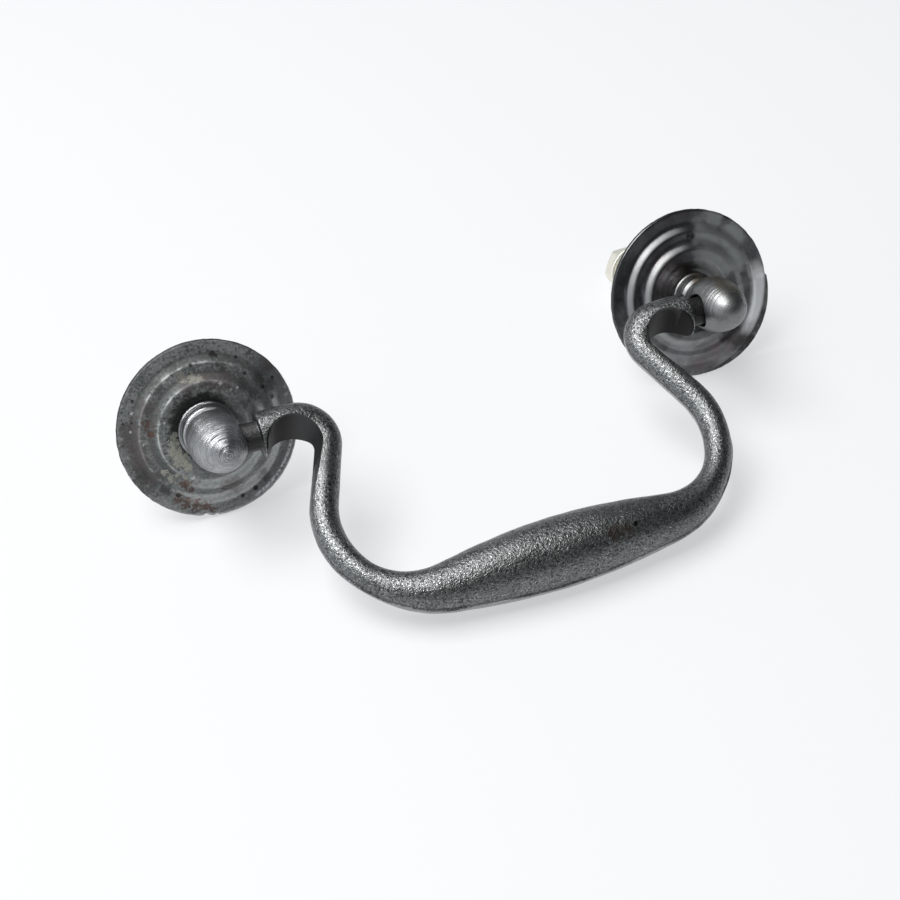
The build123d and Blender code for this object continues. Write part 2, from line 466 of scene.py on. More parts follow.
# The posts.


def turned(radius, height, seed):
    """The tool's marks: fine rings, and here and there a deeper one."""
    along = height - radius
    fine = ruffle(along, seed, 0, 0.16, 1.7)
    coarse = ruffle(along, seed, 3, 0.5, 4.1)
    deep = max(ruffle(along, seed, 9, 0.34, 2.3) - 0.35, 0)
    return 0.03 * fine + 0.03 * coarse - 0.14 * deep


def head_outline(side_name):
    """The acorn head from its nose to its underside."""
    nose = HEAD_TIP - HEAD_WIDEST
    nose_steps, belly_steps = 110, 46
    fuller, sharper = 0.94, 1.06  # powers that reshape the nose's ellipse
    nib_r, nib_height = 0.5, 0.14
    outline = [Vector((0.02, HEAD_TIP))]
    for i in range(1, nose_steps + 1):
        angle = math.pi / 2 * i / nose_steps
        radius = HEAD_R * math.sin(angle) ** fuller
        height = HEAD_WIDEST + nose * math.cos(angle) ** sharper
        if radius < nib_r:
            height += nib_height * smooth_step(nib_r - radius, 0, nib_r)
        outline.append(Vector((radius, min(height, HEAD_TIP))))
    for i in range(1, belly_steps + 1):
        share = i / belly_steps
        start = Vector((HEAD_R, HEAD_WIDEST))
        middle = Vector((HEAD_R, (HEAD_BOTTOM + HEAD_WIDEST) / 2))
        end = Vector((HEAD_BOTTOM_R[side_name], HEAD_BOTTOM))
        outline.append(start.lerp(middle, share).lerp(middle.lerp(end, share), share))
    return outline


def stem_outline(side_name):
    """The neck, bead, cove and collar below the head, down to the rose, as (radius, height)."""
    bottom_r, bead_r, collar_r = (sizes[side_name] for sizes in (HEAD_BOTTOM_R, BEAD_R, COLLAR_R))
    cove_r, fillet_r, spacing = 2.9, 0.22, 0.12
    corners = [(bottom_r, HEAD_BOTTOM), (NECK_R, HEAD_BOTTOM), (NECK_R - 0.05, 5.45)]
    corners += [(bead_r - 0.45, 5.3), (bead_r, 4.9), (bead_r, 4.35), (bead_r - 0.45, 3.95)]
    corners += [(cove_r, 3.8), (cove_r, 3.3), (collar_r - 0.2, 3.15), (collar_r, 2.95)]
    corners += [(collar_r, POST_SEAT), (2.5, POST_SEAT)]
    return divided(rounded(corners, fillet_r), spacing)[1:]


def make_post(name, side):
    outline = []
    for radius, height in head_outline(name) + stem_outline(name):
        mark = turned(radius, height, side * 5.0) * smooth_step(radius, 0.05, 0.6)
        outline.append((max(radius + mark, 0.01), height - 0.5 * mark))
    head = lathe(name + "_post_turned", outline, post_place(side), segments=144)
    cut(head, hole_cutter(name, side))
    head.data.transform(Matrix.Translation(Vector(POST_PLAY[name]) * MM))
    return head


def hole_cutter(name, side):
    """The blind cross hole, with its mouth broken where it leaves the head."""
    beyond_head = 9
    levels = [(-HOLE_PAST_AXIS, 0), (0, 0), (None, -HOLE_MOUTH), (None, HOLE_MOUTH)]
    levels += [(beyond_head, HOLE_MOUTH)]
    rings = []
    for depth, spread in levels:
        radius = HOLE_R + max(spread, 0)
        ring = []
        for angle in angles(72):
            across = radius * math.cos(angle)
            height = PIN_HEIGHT + radius * math.sin(angle)
            x = depth
            if depth is None:  # on the head's surface
                head_r = head_radius(name, height)
                x = math.sqrt(max(head_r * head_r - across * across, 0)) + spread
            ring.append(Vector((-side * x, across, height)))
        rings.append(ring)
    return skin("hole_cutter", rings, post_place(side))


def head_radius(name, height):
    """The head's radius at a height."""
    if height >= HEAD_WIDEST:
        share = (height - HEAD_WIDEST) / (HEAD_TIP - HEAD_WIDEST)
        return HEAD_R * math.sqrt(max(1 - share * share, 0))
    share = (HEAD_WIDEST - height) / (HEAD_WIDEST - HEAD_BOTTOM)
    return HEAD_R - (HEAD_R - HEAD_BOTTOM_R[name]) * share * share


def make_shank(name, side):
    """The threaded shank, with its plain turned-down tip."""
    top = POST_SEAT + 0.05
    thread_top = -1.5
    lead_top = SHANK_TIP + 2.3
    tip_chamfer = 0.3
    around = angles(48)
    rings_per_pitch = 8
    count = math.ceil((top - lead_top) / THREAD_PITCH * rings_per_pitch)
    rings = []
    for i in range(count + 1):
        height = top + (lead_top - top) * i / count
        depth = THREAD_DEPTH * smooth_step(-height, -thread_top, -thread_top + 1.0)
        depth *= 1 - smooth_step(-height, -lead_top - 0.5, -lead_top)
        ring = []
        for angle in around:
            phase = (height / THREAD_PITCH - angle / (2 * math.pi)) % 1.0
            groove = smooth_step(abs(2 * phase - 1), 0.12, 0.95)
            ring.append(polar(THREAD_R - depth * groove, angle, height))
        rings.append(ring)
    tip = [(LEAD_R, lead_top - 0.35), (LEAD_R, SHANK_TIP + tip_chamfer)]
    for radius, height in tip + [(LEAD_R - tip_chamfer, SHANK_TIP)]:
        rings.append([polar(radius, angle, height) for angle in around])
    return skin(name + "_post_shank", rings, post_place(side))


# The roses.

ROSE_SHEET = 0.9
ROSE_EDGE_R = 0.3
# The front's seat, crest, terrace and flange, as (radius, height).
ROSE_FRONT = [(BORE_R, POST_SEAT), (4.7, POST_SEAT), (6.5, 2.8), (8.5, 2.8), (9.75, 1.8)]
ROSE_FRONT += [(11.4, 1.8), (12.6, ROSE_SHEET), (ROSE_R, ROSE_SHEET)]
# Where the left rose's rim is nicked, as (angle, half width, depth).
NICKS = [(math.radians(256), 0.05, 0.35), (math.radians(256) + 0.12, 0.03, 0.2)]
# The lower right of both roses is bent forward or back, and stretched.
BENT_ANGLE = math.radians(318)
BENT_HALF_WIDTH = 1.1
BENT_FROM_R = 11.0
BENT_FORWARD = {"left": 0.45, "right": -0.35}
STRETCHED = {"left": 0.15, "right": 1.3}


def rose_outline():
    """The pressed sheet's whole section: front, rolled edge and back."""
    front_bend_r, back_bend_r, edge_steps, spacing = 1.2, 0.35, 8, 0.22
    front = rounded(ROSE_FRONT, front_bend_r)
    back_corners = [(radius, height - ROSE_SHEET) for radius, height in reversed(ROSE_FRONT)]
    back = rounded(back_corners, back_bend_r)
    edge = []
    for i in range(edge_steps + 1):
        angle = math.pi / 2 - math.pi * i / edge_steps
        out = ROSE_R - ROSE_EDGE_R + ROSE_EDGE_R * math.cos(angle)
        edge.append(Vector((out, ROSE_SHEET / 2 * (1 + math.sin(angle)))))
    return divided(front[:-1] + edge + back[1:], spacing)


def make_rose(name, side):
    def shape(point, radius, angle):
        """Moves a point of the true rose by its warp, dents, bend, stretch and nicks."""
        share = radius / ROSE_R
        towards_bend = bump(angle, BENT_ANGLE, BENT_HALF_WIDTH)
        bent = 0.12 * share**2 * math.sin(2 * angle + side) + 0.05 * ruffle(*point, 6.0, side)
        dented = 0.03 * ruffle(*point, 1.6, 3.0 + side)
        flange = towards_bend * smooth_step(radius, BENT_FROM_R, ROSE_R)
        point = point + Vector((0, 0, (bent + dented) * share + BENT_FORWARD[name] * flange))
        spread = STRETCHED[name] * towards_bend * share**2
        if name == "left" and share > 0.9:
            spread -= sum(bump(angle, place, width) * depth for place, width, depth in NICKS)
        if share > 0.97:  # the rim's fine raggedness
            spread += 0.06 * ruffle(*point, 0.7, 1.0)
        point.x *= 1 + spread / ROSE_R
        point.y *= 1 + spread / ROSE_R
        return point

    return lathe(name + "_rose_spun", rose_outline(), post_place(side), 200, shape, closed=True)


# The fixings.


def make_washer(name, side):
    edge_r, spacing = 0.18, 0.5
    corners = [(BORE_R, WASHER_FRONT), (WASHER_R, WASHER_FRONT), (WASHER_R, WASHER_BACK)]
    corners += [(BORE_R, WASHER_BACK), (BORE_R, WASHER_FRONT)]
    outline = divided(rounded(corners, edge_r), spacing)[:-1]
    return lathe(name + "_washer_plate", outline, post_place(side), 96, closed=True)


def make_nut(name, side):
    """A hexagon with its corners turned off by a cone, and a chamfer at each end of its bore."""
    flats_r = NUT_CORNER_R * math.cos(math.pi / 6)
    face_r = flats_r - 0.1  # the flat ring on each face, inside the cone
    corner_r = NUT_CORNER_R - 0.12
    cone = math.tan(math.radians(30))
    chamfer = 0.4
    sides = None  # stands for the six sides, whose radius changes on the way round
    front = [(NUT_FRONT, radius) for radius in (NUT_BORE_R, NUT_CHAMFER_R, face_r, sides)]
    back = [(NUT_BACK, radius) for radius in (sides, face_r, NUT_CHAMFER_R, NUT_BORE_R)]
    rings = []
    for face, radius in front + back:
        inward = 1 if face == NUT_BACK else -1
        ring = []
        for angle in angles(120):
            reach = radius
            height = face
            if radius is sides:
                off_flat = angle % (math.pi / 3) - math.pi / 6
                reach = min(flats_r / math.cos(off_flat), corner_r)
                height += inward * (reach - face_r) * cone
            if radius == NUT_BORE_R:
                height += inward * chamfer
            ring.append(polar(reach, angle, height))
        rings.append(ring)
    return skin(name + "_nut_hexagon", rings, post_place(side), closed=True)


# Materials. Every node works in object coordinates in millimetres.


def add(tree, kind, inputs=None, **settings):
    """Adds a node, with each input a value or a socket to join it to."""
    node = tree.nodes.new(kind)
    for key, value in settings.items():
        setattr(node, key, value)
    for key, value in (inputs or {}).items():
        if isinstance(value, bpy.types.NodeSocket):
            tree.links.new(value, node.inputs[key])
        else:
            node.inputs[key].default_value = value
    return node


def vector_math(tree, operation, first, second, output="Vector"):
    node = add(tree, "ShaderNodeVectorMath", {0: first, 1: second}, operation=operation)
    return node.outputs[output]


def calc(tree, operation, first, second=0.0):
    return add(tree, "ShaderNodeMath", {0: first, 1: second}, operation=operation).outputs[0]


def plus(tree, first, second):
    return calc(tree, "ADD", first, second)


def minus(tree, first, second):
    return calc(tree, "SUBTRACT", first, second)


def times(tree, first, *others):
    for other in others:
        first = calc(tree, "MULTIPLY", first, other)
    return first


def larger(tree, first, second):
    return calc(tree, "MAXIMUM", first, second)


def split(tree, place):
    return add(tree, "ShaderNodeSeparateXYZ", {0: place}).outputs


def start_material(name, roughness):
    """A metal, with the place in millimetres that its noise and masks are made from."""
    material = bpy.data.materials.new(name)
    material.use_nodes = True
    tree = material.node_tree
    shader = tree.nodes["Principled BSDF"]
    shader.inputs["Metallic"].default_value = 1.0
    shader.inputs["Roughness"].default_value = roughness
    coordinates = add(tree, "ShaderNodeTexCoord").outputs["Object"]
    inputs = {0: coordinates, "Scale": 1 / MM}
    scaled = add(tree, "ShaderNodeVectorMath", inputs, operation="SCALE")
    return material, tree, shader, scaled.outputs["Vector"]


def set_finish(tree, shader, colour, roughness):
    tree.links.new(colour, shader.inputs["Base Color"])
    tree.links.new(roughness, shader.inputs["Roughness"])


def cloud(tree, place, size, detail=3.0, rough=0.55, warp=0.0):
    """Noise with features of a size in millimetres, from 0 to 1."""
    inputs = {"Vector": place, "Scale": 1 / size, "Detail": detail, "Roughness": rough}
    inputs["Distortion"] = warp
    return add(tree, "ShaderNodeTexNoise", inputs).outputs["Fac"]


def level(tree, value, low, high, to_low=0.0, to_high=1.0):
    """Eases from one level to another as a value goes from low to high."""
    inputs = {"Value": value, "From Min": low, "From Max": high}
    inputs.update({"To Min": to_low, "To Max": to_high})
    node = add(tree, "ShaderNodeMapRange", inputs, interpolation_type="SMOOTHSTEP")
    return node.outputs["Result"]


def blend(tree, share, first, second):
    """A colour between two, each given by its numbers or a socket."""
    node = add(tree, "ShaderNodeMix", {0: share}, data_type="RGBA")
    for index, value in ((6, first), (7, second)):
        if isinstance(value, bpy.types.NodeSocket):
            tree.links.new(value, node.inputs[index])
        else:
            node.inputs[index].default_value = (*value, 1)
    return node.outputs[2]


def relief(tree, shader, height, distance):
    """Bump from a height between 0 and 1, where 1 is a distance in millimetres."""
    inputs = {"Height": height, "Distance": distance * MM, "Strength": 1.0}
    normal = add(tree, "ShaderNodeBump", inputs).outputs["Normal"]
    tree.links.new(normal, shader.inputs["Normal"])


def flattened(tree, place):
    return vector_math(tree, "MULTIPLY", place, (1, 1, 0))


def from_axis(tree, place):
    """The distance from a post's axis."""
    flat = flattened(tree, place)
    return add(tree, "ShaderNodeVectorMath", {0: flat}, operation="LENGTH").outputs["Value"]


def band(tree, value, centre, half_width):
    """1 at the centre of a band of values and 0 outside it."""
    off = calc(tree, "ABSOLUTE", minus(tree, value, centre))
    return level(tree, off, half_width, 0.3 * half_width)


def ragged(tree, place, size, amount):
    """A little noise either side of 0, which breaks up a mask's edge."""
    return level(tree, cloud(tree, place, size, 3.0, 0.65), 0.25, 0.75, -amount, amount)


def stains(tree, place, spots, edge, outer, inner):
    """1 inside round spots with broken edges. Each spot is its middle and its radius."""
    flat = flattened(tree, place)
    result = 0.0
    for x, y, radius in spots:
        reach = vector_math(tree, "DISTANCE", flat, (x, y, 0), "Value")
        reach = plus(tree, calc(tree, "DIVIDE", reach, radius), edge)
        result = larger(tree, result, level(tree, reach, outer, inner))
    return result


def stained_and_shaded(tree, place, colour, layers, edges):
    """A colour with layers of stains and of painted shade over it, and each layer's mask.

    A layer is its spots, the name of its edge, the shares of a spot's radius where it ends and
    where it is full, its strength and its colour.
    """
    masks = {}
    for name, (spots, edge, outer, inner, strength, tint) in layers.items():
        mask = stains(tree, place, spots, edges[edge], outer, inner)
        masks[name] = times(tree, mask, strength)
        colour = blend(tree, masks[name], colour, tint)
    return colour, masks


IRON = {
    "pit": (0.045, 0.047, 0.047),
    "skin": (0.175, 0.181, 0.18),
    "dull": (0.11, 0.114, 0.113),
    "glint": (0.46, 0.47, 0.475),
    # The parting colour is painted shade in the parting line's groove; the next, for the strip below it, is
    # painted lighter, partly as a reflection of the floor.
    "parting": (0.05, 0.05, 0.048),
    "filed_and_lit": (0.4, 0.41, 0.415),
    # The colours inside the hooks and on the spigots are painted shade.
    "eye_mouth_shade": (0.06, 0.06, 0.061),
    "eye_end_shade": (0.013, 0.011, 0.011),
    "spigot": (0.035, 0.034, 0.034),
}
GRIP_BROWN = [(8.0, -36.6, 1.6), (10.3, -36.7, 1.2)]
GRIP_HOLE = [(11.7, -36.2, 0.4)]
GRIP_STAINS = {
    "brown": (GRIP_BROWN, "broken", 1.2, 0.3, 0.7, (0.09, 0.07, 0.055)),
    "hole": (GRIP_HOLE, "soft", 1.2, 0.7, 1.0, (0.02, 0.02, 0.02)),
}


def eye_mask(tree, parts):
    """1 on the faces inside the hooks at both ends of the bail."""
    mirrored = calc(tree, "ABSOLUTE", parts["X"])
    place = add(tree, "ShaderNodeCombineXYZ", {"X": mirrored, "Y": parts["Y"]}).outputs["Vector"]
    from_front = vector_math(tree, "DISTANCE", place, (*EYE_FRONT, 0), "Value")
    from_back = vector_math(tree, "DISTANCE", place, (*EYE_BACK, 0), "Value")
    front = level(tree, from_front, EYE_FRONT_R + 0.1, EYE_FRONT_R - 0.05)
    return larger(tree, front, level(tree, from_back, EYE_BACK_R + 0.15, EYE_BACK_R))


def cast_iron():
    """Pitted casting with small glints, painted shade in the parting groove, hooks and spigots, and a
    file-smoothed strip painted lighter.
    """
    material, tree, shader, place = start_material("cast_bail", 0.4)
    parts = split(tree, place)
    grain = cloud(tree, place, 0.45, 2.0, 0.6)
    fine = cloud(tree, place, 0.23, 2.0, 0.6)
    broad = cloud(tree, place, 6.0, 3.0)
    colour = blend(tree, level(tree, grain, 0.36, 0.54), IRON["pit"], IRON["skin"])
    colour = blend(tree, level(tree, broad, 0.4, 0.65, 0.0, 0.45), colour, IRON["dull"])
    colour = blend(tree, level(tree, fine, 0.57, 0.7), colour, IRON["glint"])
    broken = ragged(tree, place, 0.9, 0.5)
    edges = {"broken": broken, "soft": times(tree, broken, 0.3)}
    colour, _ = stained_and_shaded(tree, place, colour, GRIP_STAINS, edges)
    # The parting line is a dark line of painted shade in its groove, with a smoother strip of metal below it,
    # smoothed with a file and painted lighter, partly as a reflection of the floor.
    line = plus(tree, parts["Z"], ragged(tree, place, 5.0, 0.12))
    groove_shade = times(tree, band(tree, line, 0.26, 0.2), level(tree, broad, 0.3, 0.5, 0.5, 1.0))
    colour = blend(tree, times(tree, groove_shade, 0.6), colour, IRON["parting"])
    filed_and_lit = times(tree, level(tree, line, 0.1, -0.2), level(tree, line, -2.2, -1.3))
    colour = blend(tree, times(tree, filed_and_lit, 0.75), colour, IRON["filed_and_lit"])
    # The faces inside the hooks are painted dark, darkest towards the shoulder disc: painted shade.
    eye = eye_mask(tree, parts)
    out = calc(tree, "ABSOLUTE", parts["X"])
    face = blend(tree, level(tree, out, 31.0, 35.5), IRON["eye_mouth_shade"], IRON["eye_end_shade"])
    colour = blend(tree, eye, colour, face)
    # The spigot is painted dark: painted shade in the gap between the shoulder disc and the post's head.
    spigot = level(tree, out, FLARE_X, FLARE_X + 0.2)
    colour = blend(tree, times(tree, spigot, 0.9), colour, IRON["spigot"])
    rough = level(tree, fine, 0.3, 0.7, 0.47, 0.28)
    rough = larger(tree, rough, times(tree, larger(tree, eye, spigot), 0.55))
    set_finish(tree, shader, colour, rough)
    height = plus(tree, times(tree, grain, 0.6), times(tree, fine, 0.4))
    smooth = larger(tree, times(tree, eye, 0.85), times(tree, filed_and_lit, 0.6))
    relief(tree, shader, times(tree, height, minus(tree, 1.0, smooth)), 0.2)
    return material


POST_SPECK = (0.1, 0.1, 0.1)
POST_BROWN = [(0.6, 4.1, 1.6), (1.9, 3.3, 1.4)]
POST_BLACK = [(2.7, 2.2, 1.3), (3.2, 1.1, 1.1)]
POST_STAINS = {
    "brown": (POST_BROWN, "broken", 1.3, 0.3, 0.8, (0.13, 0.11, 0.08)),
    "black": (POST_BLACK, "broken", 1.3, 0.3, 0.9, (0.045, 0.043, 0.045)),
}


def turned_steel(name, low, high, ring_depth):
    """Turned steel between two greys. Returns what each post's finish is made from."""
    material, tree, shader, place = start_material(name, 0.34)
    along = minus(tree, split(tree, place)["Z"], from_axis(tree, place))
    inputs = {"W": along, "Scale": 5.5, "Detail": 3.0, "Roughness": 0.7}
    rings = add(tree, "ShaderNodeTexNoise", inputs, noise_dimensions="1D").outputs["Fac"]
    broken = cloud(tree, place, 1.6, 3.0, 0.6)
    marks = plus(tree, rings, level(tree, broken, 0.3, 0.7, -0.05, 0.05))
    specks = level(tree, cloud(tree, place, 0.5, 3.0), 0.63, 0.72)
    colour = blend(tree, level(tree, marks, 0.38, 0.6), low, high)
    colour = blend(tree, specks, colour, POST_SPECK)
    relief(tree, shader, rings, ring_depth)
    return material, tree, shader, place, colour, marks


def left_post_steel():
    """Bright, with strong rings."""
    low, high, ring_depth = (0.17, 0.175, 0.18), (0.46, 0.468, 0.478), 0.075
    made = turned_steel("turned_post_left", low, high, ring_depth)
    material, tree, shader, _, colour, marks = made
    set_finish(tree, shader, colour, level(tree, marks, 0.35, 0.65, 0.38, 0.24))
    return material


def right_post_steel():
    """Duller and smoother than the left post, with stains."""
    low, high, ring_depth = (0.17, 0.172, 0.172), (0.25, 0.253, 0.253), 0.012
    made = turned_steel("turned_post_right", low, high, ring_depth)
    material, tree, shader, place, colour, _ = made
    broken = ragged(tree, place, 1.1, 0.55)
    colour, _ = stained_and_shaded(tree, place, colour, POST_STAINS, {"broken": broken})
    set_finish(tree, shader, colour, level(tree, broken, -0.5, 0.5, 0.46, 0.38))
    return material


# Spots on the roses, as (x, y, radius), for stains, painted shade and painted highlights, and the layers that they
# make.
LEFT_RUST = [
    (-9.7, 3.6, 1.0), (-9.5, 2.0, 0.9), (-6.0, -8.0, 1.0), (-5.4, -9.2, 0.7), (-7.6, -10.4, 1.0),
    (-6.3, -11.4, 1.2), (-4.9, -12.3, 1.2), (-3.4, -13.0, 1.0), (-2.4, -13.6, 0.7),
]
LEFT_BROWN = [
    (-12.4, 3.4, 1.9), (-12.4, 0.4, 2.4), (-12.1, -2.6, 2.2), (-11.4, -5.6, 2.0), (-9.2, 6.0, 1.8),
    (-2.0, 8.4, 1.8), (1.5, 8.6, 2.0), (4.4, 7.6, 1.9), (12.0, 8.0, 1.6), (1.6, -10.4, 1.8),
]
LEFT_PAINT = [
    (-5.9, 0.9, 0.7), (-6.3, -0.6, 1.1), (-6.4, -2.0, 1.3), (-5.8, -3.5, 1.2), (-5.0, -4.8, 0.8),
    (-8.8, -5.0, 0.6), (-8.0, -6.2, 0.7), (-6.9, -5.9, 0.5), (-5.7, -6.6, 0.4),
]
LEFT_BEIGE = [(-2.4, 9.9, 0.8), (-0.9, 9.5, 0.7), (0.4, 9.0, 0.6)]
LEFT_DARK = [
    (3.5, 12.2, 0.55), (4.0, 11.8, 0.35), (7.2, 10.6, 0.3), (7.9, 7.8, 0.35), (10.3, 4.7, 0.4),
    (11.6, 2.6, 0.4), (-7.0, 0.5, 0.3), (-10.9, 7.9, 0.3), (-7.4, -9.6, 0.5), (5.4, -12.2, 0.45),
    (3.0, -12.9, 0.35), (-0.5, 11.4, 0.35), (-13.3, 4.6, 0.25), (-11.9, 4.4, 0.2), (12.4, 5.6, 0.3),
]
RIGHT_PURPLE = [
    (-4.3, 6.8, 3.2), (-1.2, 5.6, 2.8), (-5.8, 3.4, 3.0), (-6.2, 0.0, 2.6), (-2.5, 14.0, 2.0),
    (0.5, 14.2, 1.8), (3.0, -11.8, 3.0), (5.8, -11.6, 2.4), (-0.5, -13.2, 2.4),
]
# Dark spots; the three large ones at the lower right are painted shade.
RIGHT_DARK = [
    (1.6, 10.4, 0.6), (0.9, 10.6, 0.5), (6.4, -8.6, 2.6), (8.4, -10.8, 2.4), (10.2, -11.6, 1.7),
]
RIGHT_DULL = [(4.4, 6.6, 4.2), (8.2, 4.6, 3.4), (4.6, 9.8, 3.8), (8.6, 8.4, 3.4), (6.4, 12.4, 2.8)]
# Where the right flange is bright: lacquer rubbed off, and a painted highlight.
RIGHT_BARE_AND_LIT = [(14.5, -4.2, 7.6)]
LEFT_CHIPS = [
    (3.5, 7.5, 0.3), (5.0, 6.0, 0.25), (6.0, 6.0, 0.2), (14.0, 3.5, 0.3), (14.0, 2.0, 0.3),
    (-11.5, 6.0, 0.2), (-12.5, 3.0, 0.2), (-11.0, 0.5, 0.2), (-7.0, 3.5, 0.2), (-4.5, -7.0, 0.3),
]
# Painted shade in patches on the slopes of the steps.
LEFT_SLOPE_SHADE = [
    (9.9, 6.2, 1.4), (11.3, 4.4, 1.3), (7.4, 6.0, 1.2), (8.6, 4.2, 1.1), (4.6, 10.4, 1.4),
    (-3.6, 11.6, 1.2), (-6.4, 9.2, 1.1), (-12.6, -4.8, 1.5), (-9.6, -8.4, 1.3), (7.4, -10.2, 1.2),
]
# Painted shade round each post in the dish, reaching furthest at the upper left.
LEFT_POST_SHADE = [(-1.2, 1.8, 5.3)]
RIGHT_POST_SHADE = [(-0.6, 1.2, 5.0)]
LEFT_STAINS_AND_SHADE = {
    "brown": (LEFT_BROWN, "broken", 1.3, 0.4, 0.7, (0.125, 0.108, 0.109)),
    # The next two layers are painted shade, on the slopes and round the post.
    "slope_shade": (LEFT_SLOPE_SHADE, "broken", 1.2, 0.3, 0.65, (0.075, 0.08, 0.076)),
    "post_shade": (LEFT_POST_SHADE, "soft", 1.15, 0.85, 0.85, (0.035, 0.035, 0.034)),
    "rust": (LEFT_RUST, "mottled", 1.1, 0.4, 0.75, (0.12, 0.067, 0.052)),
    "beige": (LEFT_BEIGE, "mottled", 1.1, 0.8, 0.55, (0.36, 0.35, 0.3)),
    "dark": (LEFT_DARK, "soft", 1.3, 0.6, 0.85, (0.035, 0.034, 0.032)),
    "chips": (LEFT_CHIPS, "mottled", 1.3, 0.7, 0.7, (0.6, 0.61, 0.6)),
}
RIGHT_STAINS_AND_SHADE = {
    "purple": (RIGHT_PURPLE, "broken", 1.2, 0.2, 0.7, (0.155, 0.132, 0.14)),
    "dull": (RIGHT_DULL, "soft", 1.25, 0.3, 0.8, (0.35, 0.365, 0.362)),
    # The last two layers are mostly painted shade, round the post and at the lower right.
    "post_shade": (RIGHT_POST_SHADE, "broken", 1.2, 0.3, 0.5, (0.06, 0.052, 0.054)),
    "dark": (RIGHT_DARK, "soft", 1.2, 0.5, 0.85, (0.035, 0.031, 0.032)),
}
SPUN = {
    "patch": (0.085, 0.082, 0.08),
    "fleck": (0.4, 0.41, 0.405),
    "pit": (0.06, 0.06, 0.06),
    # The next colour, for the edges of the steps, is partly a painted highlight; the rim colour after it is
    # painted shade.
    "lit_worn_edges": (0.55, 0.56, 0.55),
    "rim": (0.05, 0.05, 0.05),
    "chip": (0.6, 0.6, 0.58),
}
LEFT_ROSE = {
    "base": (0.165, 0.178, 0.176),
    "tint": (0.27, 0.282, 0.278),
    # Painted light in the next three colours: the first is rubbed-off lacquer painted lighter as a reflection, the
    # second shade on the slopes, the third a highlight on the rim.
    "bare_and_lit": (0.36, 0.368, 0.37),
    "step": (0.085, 0.09, 0.088),
    "rim": (0.85, 0.86, 0.87),
    "scratch": (0.09, 0.095, 0.095),
    "paint": (0.17, 0.17, 0.145),
    "flake": (0.25, 0.25, 0.215),
}
RIGHT_ROSE = {
    "base": (0.21, 0.216, 0.22),
    "tint": (0.135, 0.138, 0.142),
    # The ridge colour is a painted highlight, and the next one partly one.
    "ridge": (0.4, 0.41, 0.405),
    "bare_and_lit": (0.72, 0.73, 0.735),
}


def facing_out(tree):
    """1 on a rose's front and rim, 0 on its back, which has none of the stains nor the painted shade and
    highlights laid on with them.
    """
    normal = add(tree, "ShaderNodeNewGeometry").outputs["Normal"]
    outward = vector_math(tree, "DOT_PRODUCT", normal, tuple(OUTWARD), "Value")
    return level(tree, outward, -0.1, 0.1)


def spun_steel(name, base, tint, roughness, wear):
    """Spun sheet with a thin mottled lacquer. Returns what its stains and painted light are added to."""
    material, tree, shader, place = start_material(name, roughness)
    radius = from_axis(tree, place)
    parts = split(tree, place)
    broad = cloud(tree, place, 4.0, 4.0, 0.6)
    patchy = cloud(tree, place, 1.9, 5.0, 0.65, 0.6)
    speckle = cloud(tree, place, 0.45, 3.0, 0.6)
    colour = blend(tree, level(tree, broad, 0.38, 0.62), base, tint)
    colour = blend(tree, level(tree, patchy, 0.58, 0.7, 0, 0.55), colour, SPUN["patch"])
    flecks = times(tree, level(tree, speckle, 0.53, 0.63), 0.55 * wear)
    colour = blend(tree, flecks, colour, SPUN["fleck"])
    pits = times(tree, level(tree, speckle, 0.46, 0.37), 0.6 * wear)
    colour = blend(tree, pits, colour, SPUN["pit"])
    # The edges of the crest and the terrace are painted bright at the upper left: a painted highlight where they
    # catch the light, with some wear.
    lit_worn_edges = larger(tree, band(tree, radius, 8.62, 0.2), band(tree, radius, 11.55, 0.2))
    upper_left = level(tree, minus(tree, parts["Y"], parts["X"]), -1.0, 7.0)
    lit_worn_edges = times(tree, lit_worn_edges, upper_left, level(tree, broad, 0.4, 0.52), 0.75 * wear)
    colour = blend(tree, lit_worn_edges, colour, SPUN["lit_worn_edges"])
    # The outermost edge is darkened all round: painted shade on the rolled edge.
    rim = level(tree, radius, ROSE_R - 0.24, ROSE_R - 0.1, 0, 0.85)
    colour = blend(tree, rim, colour, SPUN["rim"])
    chips = level(tree, radius, ROSE_R - 0.2, ROSE_R - 0.08, 0, 0.7)
    lower_half = level(tree, parts["Y"], 3.0, -3.0, 0, wear)
    chips = times(tree, chips, lower_half, level(tree, patchy, 0.46, 0.52))
    colour = blend(tree, chips, colour, SPUN["chip"])
    return material, tree, shader, place, parts, radius, colour, patchy, speckle


def scratched(tree, place, colour):
    """A few fine straight scratches across the top of the rose."""
    turn = {"Vector": place, "Rotation": (0, 0, math.radians(20))}
    turned_place = add(tree, "ShaderNodeMapping", turn).outputs["Vector"]
    stretched = vector_math(tree, "MULTIPLY", turned_place, (0.06, 1.0, 0))
    lines = cloud(tree, stretched, 0.34, 2.0, 0.6)
    top = level(tree, split(tree, place)["Y"], 10.0, 12.5)
    share = times(tree, level(tree, lines, 0.6, 0.7), top, 0.6)
    return blend(tree, share, colour, LEFT_ROSE["scratch"])


